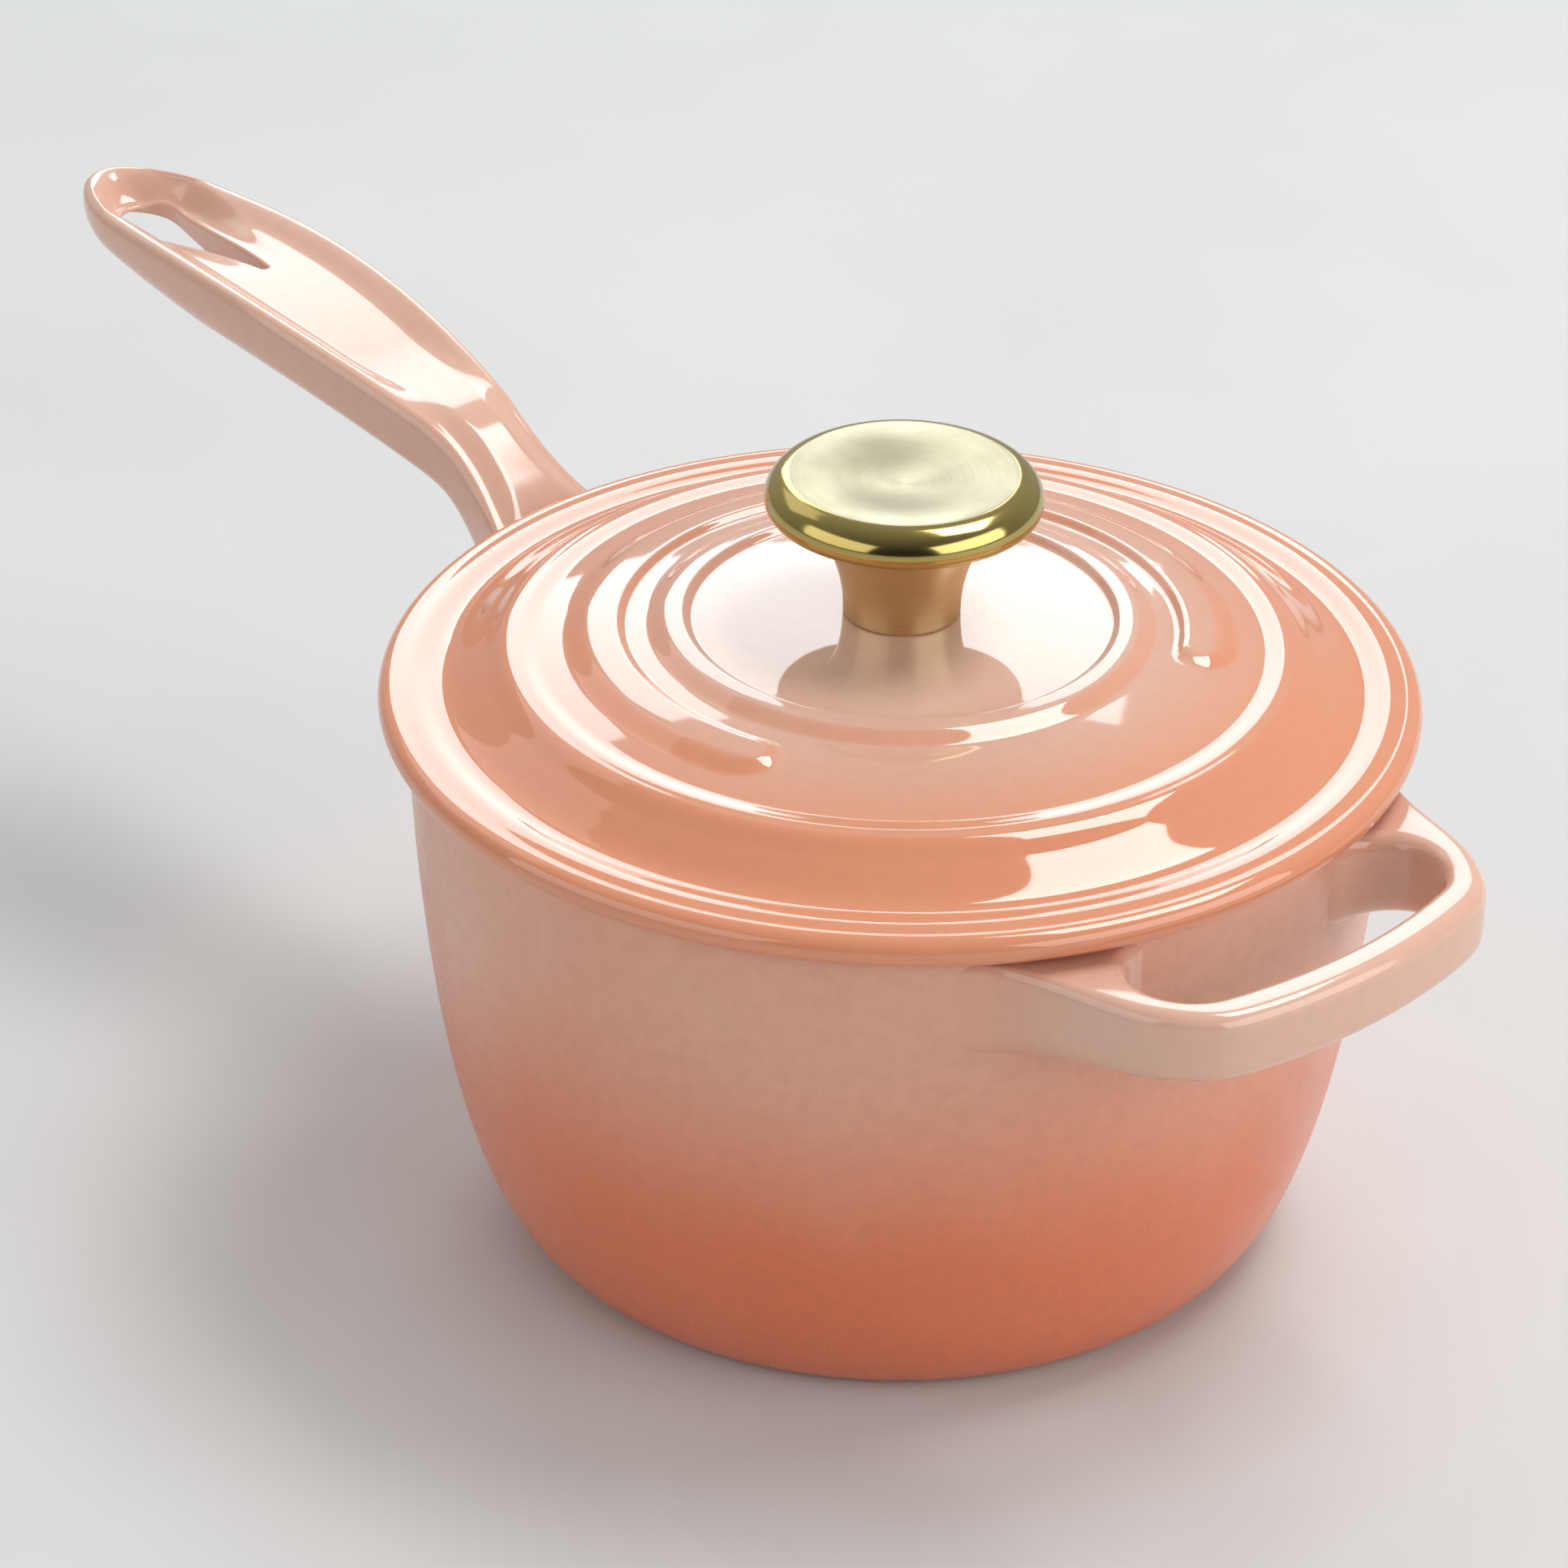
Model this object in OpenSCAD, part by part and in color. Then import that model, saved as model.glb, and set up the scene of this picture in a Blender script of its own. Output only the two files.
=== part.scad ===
// Enamelled cast-iron saucepan with two handles, a ringed lid and a metal knob.
// Millimetres, +Z up. The origin is on the pan's axis, at the underside of its base.
// The long handle points along -X and the helper handle along +X.

/* [Pan] */
// Outside radius of the pan at its rim
rim_r = 84; // [80:1:88]
// Radius of the flat part of the base
base_r = 60; // [54:1:64]
// Height of the pan from its base to its rim
pan_h = 97; // [90:1:110]
// Thickness of the cast wall, with the enamel outside it
wall = 3.5; // [3.5:0.5:5]
// Thickness of the cast base
base_t = 4.5; // [4:0.5:6]
// Thickness of the light enamel inside the pan and under the lid
lining_t = 0.5; // [0.3:0.1:0.8]

/* [Lid] */
// How far the lid reaches past the pan's rim
lid_overhang = 5; // [4:0.5:6]
// Thickness of the lid's rounded edge
edge_t = 5.4; // [4:0.2:6]
// Thickness of the lid's dome
dome_t = 3.5; // [3.5:0.5:5]
// Rise of the lid's middle above its flat edge
crown_rise = 12.6; // [11:0.2:16]
// Rise of the shoulder ring's foot above the flat edge
shoulder_rise = 6; // [5:0.2:9]
// Radius of the shoulder ring
shoulder_r = 66; // [62:1:70]
// Radius of the broken ring
broken_r = 51; // [49:1:54]
// Radius of the inner ring
inner_r = 38; // [35:1:41]
// Angle at which the broken ring starts
broken_from = 32; // [20:1:60]
// How far the broken ring runs round the lid
broken_sweep = 262; // [240:1:300]
// Play between the lid's locating lip and the lining of the pan
lip_play = 0.8; // [0.5:0.1:1.5]

/* [Long handle] */
// Distance from the pan's axis to the tip of the long handle
handle_reach = 223; // [205:1:235]
// Half width of the grip at its widest
grip_half_w = 15.5; // [13:0.5:18]
// Half width of the neck
neck_half_w = 8.2; // [7:0.2:10]
// Height of the grip's top above the base
grip_top = 121; // [116:1:128]
// Thickness of the grip
grip_t = 13; // [10:0.5:16]
// Depth of the channel along the top of the grip
channel_d = 2.4; // [1:0.2:3.5]

/* [Helper handle] */
// Distance from the pan's axis to the outside of the helper handle
helper_reach = 112; // [108:1:118]
// Thickness of the helper handle's bow, seen from above
bow_t = 7.5; // [7:0.5:10]
// Height of the helper handle's bow
bow_h = 12.5; // [10:0.5:16]
// Drop from the pan's rim to the top of the bow
bow_drop = 1.5; // [1:0.5:8]

/* [Knob] */
// Radius of the knob's head
knob_r = 23.6; // [20:0.2:26]
// Radius of the knob's foot on the lid
foot_r = 9.8; // [9:0.2:12]
// Height of the knob above the lid
knob_h = 26; // [23:0.5:30]
// Thickness of the metal of the knob's cap
cap_t = 1.5; // [1.2:0.1:2]
// Nominal radius of the knob's screw
screw_r = 3; // [2.5:0.5:3]
// Length of the screw's shank
screw_len = 16; // [14:1:18]

/* [Hidden] */
$fn = 96;

coral = [0.89, 0.52, 0.41];
peach = [0.88, 0.68, 0.58];
sand = [0.87, 0.81, 0.70];
gold = [0.83, 0.71, 0.42];
brass = [0.75, 0.60, 0.30];
steel = [0.72, 0.73, 0.74];

// The bowl's side is a squashed round: it leaves the base level and reaches the rim nearly upright.
bowl_rise = 1.7;
bowl_round = 0.43;
bowl_steps = 20;
// Steps crowd towards the base, where the side turns fastest.
bowl_crowding = 2;

// Radius at which the inside's round meets its flat floor
floor_r = base_r - 3;
bore_clearance = 0.05;

lid_r = rim_r + lid_overhang;
edge_top = pan_h + edge_t;
edge_round = edge_t / 2;
crown_z = edge_top + crown_rise;
shoulder_z = edge_top + shoulder_rise;
// The flat edge stops here and the slope up to the shoulder begins.
slope_foot_r = shoulder_r + 13.5;
// A flat pad in the middle, under the knob and over the screw's washer
pad_r = 12;
crown_power = 1.8;
// Each ring: where its inner flank starts and ends, and where its outer flank starts and ends
inner_ring = [inner_r - 2.4, inner_r - 0.6, inner_r + 1.6, inner_r + 5.8];
broken_ring = [broken_r - 4.4, broken_r - 2.4, broken_r + 1.6, broken_r + 7];
shoulder_ring = [shoulder_r - 4.5, shoulder_r - 0.5, shoulder_r + 0.5, shoulder_r + 5];
profile_step = 1;
under_z = crown_z - dome_t;
lip_outer_r = rim_r - wall - lining_t - lip_play;
lip_w = 3;
lip_depth = 5;
hole_r = screw_r + 0.5;
dome_step = 3;

knob_top = crown_z + knob_h;
cap_rim_r = 0.8 * knob_r;
cap_dish = 2.2;
cap_wide_z = knob_top - 4;
cap_foot_z = knob_top - 5.8;
cap_foot_r = knob_r - 0.9;
flare_top_z = knob_top - 9.6;
flare_r = 14;
insert_r = 5;
insert_flange_r = 7;
insert_shelf = 1.6;
insert_len = 12;
insert_z = crown_z + insert_shelf;
washer_r = 8;
washer_t = 1.2;
washer_top = under_z - lining_t;
head_r = 5.5;
head_h = 3.2;
recess_w = 1.1;
recess_l = 6;
recess_d = 1.8;

// Smooth step from 0 to 1
function ease(t) = let (c = min(max(t, 0), 1)) c * c * (3 - 2 * c);

// A ring on the lid: up over its inner flank, level along its crest, down over its outer flank
function ring_z(r, ring, height) =
  height * ease((r - ring[0]) / (ring[1] - ring[0])) * ease((ring[3] - r) / (ring[3] - ring[2]));

// Radius of a bowl's side at height z, from radius r0 at z0 to r1 at the rim
function side_r(z, z0, r0, r1) =
  r0 + (r1 - r0) * pow(1 - pow(1 - (z - z0) / (pan_h - z0), bowl_rise), bowl_round);

// Points of a bowl's side, from its floor to the rim
function side_points(z0, r0, r1) = [
  for (i = [0:bowl_steps])
    let (z = z0 + (pan_h - z0) * pow(i / bowl_steps, bowl_crowding))
    [side_r(z, z0, r0, r1), z]
];

// Outline of the solid bowl: a floor, a side and the axis
function bowl_outline(z0, r0, r1) = concat([[0, z0]], side_points(z0, r0, r1), [[0, pan_h]]);

// Height of the lid's dome without its rings
function dome_z(r) =
  r < shoulder_r
    ? crown_z - (crown_z - shoulder_z) * pow(max(r - pad_r, 0) / (shoulder_r - pad_r), crown_power)
    : shoulder_z - shoulder_rise * ease((r - shoulder_r) / (slope_foot_r - shoulder_r));

// Height of the lid's top with its unbroken rings
function lid_top_z(r) =
  dome_z(r) + ring_z(r, inner_ring, 1.3) + ring_z(r, shoulder_ring, 0.9);

function broken_ring_z(r) = dome_z(r) + ring_z(r, broken_ring, 1.2);

// Points on the underside of the dome, lowered by the given amount
function under_points(lower) = [
  for (r = [pad_r:dome_step:lip_outer_r - lip_w - dome_step]) [r, dome_z(r) - dome_t - lower]
];

module solid_bowl() {
  rotate_extrude() polygon(bowl_outline(0, base_r, rim_r));
}

// The pan: one iron casting, enamelled outside
module pan_body() {
  color(coral)
    difference() {
      solid_bowl();
      rotate_extrude() polygon(bowl_outline(base_t, floor_r, rim_r - wall));
    }
}

// The light enamel fired onto the inside of the pan
module pan_lining() {
  color(sand)
    difference() {
      rotate_extrude() polygon(bowl_outline(base_t, floor_r, rim_r - wall));
      rotate_extrude()
        polygon(bowl_outline(base_t + lining_t, floor_r - lining_t, rim_r - wall - lining_t));
    }
}

// Long handle: sections across its length, s being the distance from the pan's axis
tip_round = 20;
root_s = 76;
widest_s = 168;
neck_s = 100;
crest_inset = 2.2;
section_steps = 30;
// The flare at the root: its extra half width, where it starts and its length
flare_w = 12;
flare_s = 112;
flare_l = 28;
// The rise of the top: it levels out at level_s, having climbed sweep_drop over sweep_l
level_s = 190;
sweep_l = 86;
sweep_drop = 13.7;
// Where the S at the neck starts and ends, its drop from the rim and its slope at the wall
neck_from = 84;
neck_to = 116;
wall_drop = 3.5;
wall_slope = 0.25;
// Share of the thickness lost towards the tip, and the extra depth at the root
thinning = 0.38;
root_extra = 8;

// Blunt round end
function tip_f(s) =
  let (t = (s - handle_reach + tip_round) / tip_round)
  s < handle_reach - tip_round ? 1 : sqrt(max(1 - t * t, 0.01));

// Half width: a long gentle swell, with a flare where the neck runs into the pan
function grip_half(s) =
  tip_f(s) * (neck_half_w + (grip_half_w - neck_half_w) * sin(90 * (s - neck_s) / (widest_s - neck_s)))
  + flare_w * pow(max(flare_s - s, 0) / flare_l, 2);

// Height of the top past the neck: a parabola that sweeps up and levels out
function far_top_z(s) = grip_top - sweep_drop * pow(max(level_s - s, 0) / sweep_l, 2);

// Height of the top: a smooth S joins the wall under the lid's edge to the sweep past the neck
function grip_top_z(s) =
  let (
    span = neck_to - neck_from,
    t = max(s - neck_from, 0) / span,
    low = pan_h - wall_drop,
    sweep_slope = 2 * sweep_drop * (level_s - neck_to) / (sweep_l * sweep_l),
    settle = span * (wall_slope * t * pow(1 - t, 2) - sweep_slope * t * t * (1 - t))
  )
  s > neck_to ? far_top_z(s) : low + (far_top_z(neck_to) - low) * ease(t) + settle;

// Thickness: thin towards the tip and deep at the root
function grip_depth(s) =
  let (thin = 1 - thinning * ease((s - widest_s) / 57))
  grip_t * thin * (0.85 + 0.15 * tip_f(s)) + root_extra * ease((112 - s) / 26);

// Depth of the channel: it fades into a slightly crowned neck, and into the tip
neck_crown = 0.5;
function channel(s) =
  (channel_d + neck_crown) * ease((s - 108) / 30) * ease((handle_reach - 4 - s) / 8) - neck_crown;

// Half of a section, from the channel's middle over the ridge to the keel, as [across, up]
function half_section(s) =
  let (
    w = grip_half(s),
    t = grip_top_z(s),
    d = grip_depth(s),
    c = channel(s),
    ridge = min(crest_inset, w / 3)
  )
  [
    [0.45 * (w - ridge), t - c],
    [w - 2 * ridge, t - c * 0.6],
    [w - ridge, t],
    [w - 0.3 * ridge, t - 0.7],
    [w, t - 2.5],
    [w * 0.98, t - d * 0.6],
    [w * 0.8, t - d * 0.88],
    [w * 0.4, t - d]
  ];

function section(s) =
  let (half = half_section(s), count = len(half))
  [
    for (i = [0:2 * count - 1])
      let (p = i < count ? half[i] : half[2 * count - 1 - i], side = i < count ? 1 : -1)
      [-s, side * p[0], p[1]]
  ];

module handle_sweep() {
  stations = [
    for (i = [0:section_steps]) root_s + (handle_reach - root_s) * (1 - cos(180 * i / section_steps)) / 2
  ];
  rings = [for (s = stations) section(s)];
  count = len(rings[0]);
  last = len(rings) - 1;
  sides = [
    for (i = [0:last - 1], j = [0:count - 1])
      let (k = (j + 1) % count)
      [i * count + j, i * count + k, (i + 1) * count + k, (i + 1) * count + j]
  ];
  root_cap = [for (j = [count - 1:-1:0]) j];
  tip_cap = [for (j = [0:count - 1]) last * count + j];
  points = [for (ring = rings, p = ring) p];
  polyhedron(points, concat(sides, [root_cap], [tip_cap]), convexity = 6);
}

// Long handle with its hanging hole: round at the tip end and pointed towards the pan
module long_handle() {
  hole_tip_s = handle_reach - 16;
  hole_point_s = handle_reach - 47;
  hole_round_r = 5.6;
  hole_point_r = 1.2;
  color(peach)
    difference() {
      handle_sweep();
      translate([0, 0, grip_top - 2 * grip_t])
        linear_extrude(3 * grip_t)
          hull() {
            translate([-hole_tip_s, 0]) circle(hole_round_r, $fn = 32);
            translate([-hole_point_s, 0]) circle(hole_point_r, $fn = 32);
          }
      solid_bowl();
    }
}

// Helper handle: a bow cast onto the wall under the rim, with a finger gap
sunk_r = rim_r - 8;
bow_from = 15;
bow_to = 38;
gap_half_angle = 14;
gap_middle_r = (helper_reach - bow_t + rim_r - 0.5) / 2;
gap_end_r = (helper_reach - bow_t - rim_r + 0.5) / 2;

// Outline of the bow round the pan's axis: full reach in the middle, swept in to the wall at both ends
bow_outline = concat(
  [[0, 0]],
  [
    for (a = [-bow_to:1:bow_to])
      let (r = helper_reach - (helper_reach - sunk_r) * ease((abs(a) - bow_from) / (bow_to - bow_from)))
      [r * cos(a), r * sin(a)]
  ]
);

// Outline of the finger gap: an arc with round ends that run into the wall
gap_outline = concat(
  [
    for (b = [-180:10:-10])
      let (a = -gap_half_angle)
      [gap_middle_r * cos(a) + gap_end_r * cos(a + b), gap_middle_r * sin(a) + gap_end_r * sin(a + b)]
  ],
  [for (a = [-gap_half_angle:2:gap_half_angle]) (gap_middle_r + gap_end_r) * [cos(a), sin(a)]],
  [
    for (b = [10:10:180])
      let (a = gap_half_angle)
      [gap_middle_r * cos(a) + gap_end_r * cos(a + b), gap_middle_r * sin(a) + gap_end_r * sin(a + b)]
  ]
);

module helper_handle() {
  color(peach)
    difference() {
      translate([0, 0, pan_h - bow_drop - bow_h])
        linear_extrude(bow_h)
          difference() {
            polygon(bow_outline);
            polygon(gap_outline);
          }
      solid_bowl();
    }
}

// Lid: one iron casting, with a flat rounded edge, a ringed dome and a lip that centres it
module lid_shell() {
  top_radii = concat([hole_r], [for (r = [pad_r:profile_step:slope_foot_r]) r]);
  top = [for (r = top_radii) [r, lid_top_z(r)]];
  round_x = lid_r - edge_round;
  edge = [
    for (a = [90:-15:-90]) [round_x + edge_round * cos(a), pan_h + edge_round + edge_round * sin(a)]
  ];
  lip = [
    [lip_outer_r, pan_h],
    [lip_outer_r, pan_h - lip_depth + 1],
    [lip_outer_r - 1, pan_h - lip_depth],
    [lip_outer_r - lip_w + 1, pan_h - lip_depth],
    [lip_outer_r - lip_w, pan_h - lip_depth + 1],
    [lip_outer_r - lip_w, pan_h]
  ];
  under = under_points(0);
  inward = [for (i = [len(under) - 1:-1:0]) under[i]];
  ring_in = broken_ring[0];
  ring_out = broken_ring[3];
  ring = concat(
    [for (r = [ring_in:profile_step:ring_out]) [r, broken_ring_z(r)]],
    [[ring_out, dome_z(ring_out)], [ring_out, dome_z(ring_out) - 1], [ring_in, dome_z(ring_in) - 1]]
  );
  color(coral)
    union() {
      rotate_extrude() polygon(concat(top, edge, lip, inward, [[hole_r, under_z]]));
      rotate([0, 0, broken_from]) rotate_extrude(angle = broken_sweep) polygon(ring);
    }
}

// The light enamel fired onto the underside of the dome
module lid_lining() {
  upper = under_points(0);
  lower = under_points(lining_t);
  inward = [for (i = [len(lower) - 1:-1:0]) lower[i]];
  color(sand)
    rotate_extrude()
      polygon(concat([[hole_r, under_z]], upper, inward, [[hole_r, under_z - lining_t]]));
}

// Cap of the knob: a dished top with a polished bevel
module knob_cap() {
  dish = [for (r = [0:2:cap_rim_r]) [r, knob_top - cap_dish * (1 - pow(r / cap_rim_r, 2))]];
  inside = [
    for (r = [cap_rim_r - 2:-2:0]) [r, knob_top - cap_t - cap_dish * (1 - pow(r / cap_rim_r, 2))]
  ];
  bevel = [
    for (a = [90:-15:0])
      [cap_rim_r + (knob_r - cap_rim_r) * cos(a), cap_wide_z + (knob_top - cap_wide_z) * sin(a)]
  ];
  foot = [[cap_foot_r, cap_foot_z], [cap_foot_r - cap_t, cap_foot_z], [knob_r - cap_t - 0.2, cap_wide_z]];
  color(gold)
    rotate_extrude() polygon(concat(dish, bevel, foot, inside, [[0, knob_top - cap_dish - cap_t]]));
}

// Neck of the knob: a waisted column that flares out to carry the cap
module knob_neck() {
  flare_h = flare_top_z - crown_z;
  waist = [
    for (t = [0:0.1:1.001]) [foot_r + (flare_r - foot_r) * pow(t, 2.5), crown_z + flare_h * t]
  ];
  plate = [
    [cap_foot_r, cap_foot_z],
    [cap_foot_r - cap_t, cap_foot_z],
    [flare_r + 1, flare_top_z + 2],
    [insert_flange_r + 1, insert_z + insert_len],
    [insert_r, insert_z + insert_len],
    [insert_r, insert_z],
    [hole_r, insert_z],
    [hole_r, crown_z]
  ];
  color(gold) rotate_extrude() polygon(concat(waist, plate));
}

// Threaded bush pressed into the neck, drawn as a plain bore
module knob_insert() {
  bore_r = screw_r + bore_clearance;
  color(brass)
    difference() {
      union() {
        translate([0, 0, insert_z]) cylinder(h = insert_len, r = insert_r);
        translate([0, 0, insert_z + insert_len]) cylinder(h = 1.5, r = insert_flange_r);
      }
      translate([0, 0, insert_z - 1]) cylinder(h = insert_len + 4, r = bore_r);
    }
}

module screw_washer() {
  color(steel)
    translate([0, 0, washer_top - washer_t])
      difference() {
        cylinder(h = washer_t, r = washer_r);
        translate([0, 0, -1]) cylinder(h = washer_t + 2, r = screw_r + bore_clearance);
      }
}

// Screw that holds the knob from under the lid, with a cross recess in its head
module knob_screw() {
  head_top = washer_top - washer_t;
  color(steel)
    difference() {
      union() {
        translate([0, 0, head_top]) cylinder(h = screw_len, r = screw_r);
        translate([0, 0, head_top - head_h]) cylinder(h = head_h, r1 = head_r - 1, r2 = head_r);
      }
      for (turn = [0, 90])
        rotate([0, 0, turn])
          translate([-recess_l / 2, -recess_w / 2, head_top - head_h - 1])
            cube([recess_l, recess_w, recess_d + 1]);
    }
}

pan_body();
pan_lining();
long_handle();
helper_handle();
lid_shell();
lid_lining();
knob_cap();
knob_neck();
knob_insert();
screw_washer();
knob_screw();
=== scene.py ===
"""Looks of an enamelled cast-iron saucepan: glossy coral and peach enamel, and a brushed gold knob.

Lengths in the shape functions are millimetres. They become metres when a mesh is made.
The pan's axis is Z, the long handle points along -X and the helper handle along +X.
"""
import math

import bmesh
import bpy
import numpy as np
from mathutils import Matrix, Vector


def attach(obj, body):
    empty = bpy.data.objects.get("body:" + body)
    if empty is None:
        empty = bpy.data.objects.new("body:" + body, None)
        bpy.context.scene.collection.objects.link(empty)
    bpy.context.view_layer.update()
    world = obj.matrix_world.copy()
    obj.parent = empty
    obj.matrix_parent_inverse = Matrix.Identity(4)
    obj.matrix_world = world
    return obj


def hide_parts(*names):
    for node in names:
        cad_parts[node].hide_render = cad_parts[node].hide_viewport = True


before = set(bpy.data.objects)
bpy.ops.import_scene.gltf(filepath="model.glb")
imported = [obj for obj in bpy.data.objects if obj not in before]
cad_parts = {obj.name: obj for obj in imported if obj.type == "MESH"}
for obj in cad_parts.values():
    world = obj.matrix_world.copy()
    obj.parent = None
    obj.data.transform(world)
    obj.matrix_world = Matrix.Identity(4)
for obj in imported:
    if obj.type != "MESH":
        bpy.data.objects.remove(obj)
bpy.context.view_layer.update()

MM = 0.001

# Sizes of the pan, as in the CAD part
RIM_R = 84.0
BASE_R = 60.0
PAN_H = 97.0
WALL = 3.5
BASE_T = 4.5
LINING_T = 0.5
FOOT_R = 58.0
FLAT_R = 54.0
RECESS_D = 0.6
ROOT_DEPTH = 1.7

# Sizes of the lid
LID_R = 89.0
EDGE_T = 5.4
EDGE_TOP = PAN_H + EDGE_T
DOME_T = 3.5
CROWN_Z = EDGE_TOP + 12.6
SHOULDER_Z = EDGE_TOP + 6.0
SHOULDER_R = 66.0
SLOPE_FOOT_R = 79.5
PAD_R = 12.0
LIP_OUTER_R = 79.2
LIP_W = 3.0
LIP_DEPTH = 5.0
HOLE_R = 3.5
INNER_RING = (35.6, 37.4, 39.6, 43.8)
BROKEN_RING = (46.6, 48.6, 52.6, 58.0)
SHOULDER_RING = (61.5, 65.5, 66.5, 71.0)
BROKEN_FROM = 32.0
BROKEN_SWEEP = 262.0
INNER_RING_H = 1.3
BROKEN_RING_H = 1.2
SHOULDER_RING_H = 0.9
BAND_SWELL = 0.40

# Sizes of the knob and its screw
KNOB_TOP = CROWN_Z + 26.0
KNOB_R = 23.6
CAP_RIM_R = 18.6
CAP_DISH = 2.2
BEVEL_H = 4.6
NECK_R = 10.0
NECK_FLARE = 5.0
UNDER_Z = CROWN_Z - DOME_T
WASHER_T = 1.2
HEAD_TOP = UNDER_Z - LINING_T - WASHER_T
HEAD_H = 3.2
SHANK_L = 16.0
SHANK_R = 2.98
THREAD_D = 0.55
CROSS_D = 1.8

TAU = 2.0 * math.pi


# ---------------------------------------------------------------- shapes

def ease(t):
    """Smooth step: 3c^2 - 2c^3, with c being t held between 0 and 1."""
    c = np.clip(t, 0.0, 1.0)
    return c * c * (3.0 - 2.0 * c)


def arc(cx, cz, radius, start, end, steps):
    """Points on a circle round (cx, cz), from angle start to angle end in degrees."""
    a = np.radians(np.linspace(start, end, steps))
    return np.stack([cx + radius * np.cos(a), cz + radius * np.sin(a)], axis=1)


def line(x0, z0, x1, z1, steps):
    """Evenly spaced points from (x0, z0) to (x1, z1)."""
    t = np.linspace(0.0, 1.0, steps)
    return np.stack([x0 + (x1 - x0) * t, z0 + (z1 - z0) * t], axis=1)


def turned(profile, turns):
    """Profile (radius, height) carried round Z: (r cos a, r sin a, z)."""
    a = np.arange(turns) * TAU / turns
    r = profile[:, 0, None]
    z = np.broadcast_to(profile[:, 1, None], (len(profile), turns))
    return np.stack([r * np.cos(a), r * np.sin(a), z], axis=2)


def grid_faces(rows, columns, wrap_rows, wrap_columns, first):
    """Four-cornered faces of a grid of points, numbered row by row from first."""
    index = first + np.arange(rows * columns).reshape(rows, columns)
    if wrap_rows:
        index = np.vstack([index, index[:1]])
    if wrap_columns:
        index = np.hstack([index, index[:, :1]])
    corners = [index[:-1, :-1], index[1:, :-1], index[1:, 1:], index[:-1, 1:]]
    return np.stack(corners, axis=-1).reshape(-1, 4)


def piece(name, grids, material, body, nodes):
    """Joins grids into one closed piece, with shared edges and poles merged and faces turned outward."""
    points = []
    faces = []
    first = 0
    for grid, wrap_rows, wrap_columns in grids:
        rows, columns = grid.shape[:2]
        points.append(grid.reshape(-1, 3))
        faces.append(grid_faces(rows, columns, wrap_rows, wrap_columns, first))
        first += rows * columns
    mesh = bpy.data.meshes.new(name)
    mesh.from_pydata(np.concatenate(points) * MM, [], np.concatenate(faces))
    work = bmesh.new()
    work.from_mesh(mesh)
    bmesh.ops.remove_doubles(work, verts=work.verts, dist=2e-6)
    bmesh.ops.recalc_face_normals(work, faces=work.faces)
    work.to_mesh(mesh)
    work.free()
    mesh.polygons.foreach_set("use_smooth", np.ones(len(mesh.polygons), dtype=bool))
    mesh.materials.append(material)
    mesh.update()
    obj = bpy.data.objects.new(name, mesh)
    bpy.context.collection.objects.link(obj)
    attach(obj, body)
    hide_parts(*nodes)
    return obj


def side_r(z, floor_z, floor_r, top_r):
    """Radius of a bowl's side: floor_r + (top_r - floor_r) (1 - (1 - t)^1.7)^0.43.

    t runs from 0 at the floor to 1 at the rim.
    """
    t = np.clip((z - floor_z) / (PAN_H - floor_z), 0.0, 1.0)
    return floor_r + (top_r - floor_r) * (1.0 - (1.0 - t) ** 1.7) ** 0.43


def side_points(floor_z, floor_r, top_r, top_z, steps):
    """Points up a bowl's side, crowded towards the floor, where it turns fastest."""
    z = floor_z + (top_z - floor_z) * np.linspace(0.0, 1.0, steps) ** 2.2
    return np.stack([side_r(z, floor_z, floor_r, top_r), z], axis=1)


def outer_r(z):
    """Outside radius of the pan at height z."""
    return side_r(z, 0.0, BASE_R, RIM_R)


def pan_profile():
    """Base with a shallow recess inside its foot, the side, a rounded rim and the inside of the casting."""
    rim_in = RIM_R - WALL
    side_top = PAN_H - 1.5
    side = side_points(0.0, BASE_R, RIM_R, side_top, 110)
    rim_out = arc(side[-1, 0] - 1.5, side_top, 1.5, 8, 90, 10)
    inner = side_points(BASE_T, BASE_R - 3, rim_in, side_top, 50)[::-1]
    recess_r = np.linspace(0.0, FOOT_R, 60)
    recess = np.stack([recess_r, RECESS_D * ease((FLAT_R - recess_r) / 4.0)], axis=1)
    return np.concatenate([
        recess,
        side,
        rim_out,
        line(side[-1, 0] - 1.9, PAN_H, rim_in + 1.2, PAN_H - 0.1, 4),
        arc(rim_in + 0.9, side_top + 0.5, 0.9, 100, 180, 6),
        inner,
        line(FLAT_R, BASE_T, 0.0, BASE_T, 6),
    ])


def lining_profile():
    """Skin on the inside of the pan: its visible face, a rounded lip just under the rim, and its back."""
    top_z = PAN_H - 1.9
    face = side_points(BASE_T + LINING_T, BASE_R - 3.5, RIM_R - WALL - LINING_T, top_z, 110)
    back = side_points(BASE_T, BASE_R - 3, RIM_R - WALL, top_z, 60)[::-1]
    mouth = arc(RIM_R - WALL - 0.27, top_z, 0.25, 180, 0, 8)
    floor_r = np.linspace(0.0, BASE_R - 4.5, 40)
    floor = np.stack([floor_r, np.full_like(floor_r, BASE_T + LINING_T)], axis=1)
    return np.concatenate([floor, face, mouth, back, line(FLAT_R, BASE_T, 0.0, BASE_T, 6)])


def dome_z(r):
    """Lid's dome: a power curve down from the pad to the shoulder, then an S down to the flat edge."""
    crown = CROWN_Z - (CROWN_Z - SHOULDER_Z) * (np.clip(r - PAD_R, 0, None) / (SHOULDER_R - PAD_R)) ** 1.8
    slope = SHOULDER_Z - 6.0 * ease((r - SHOULDER_R) / (SLOPE_FOOT_R - SHOULDER_R))
    return np.where(r < SHOULDER_R, crown, slope)


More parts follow.
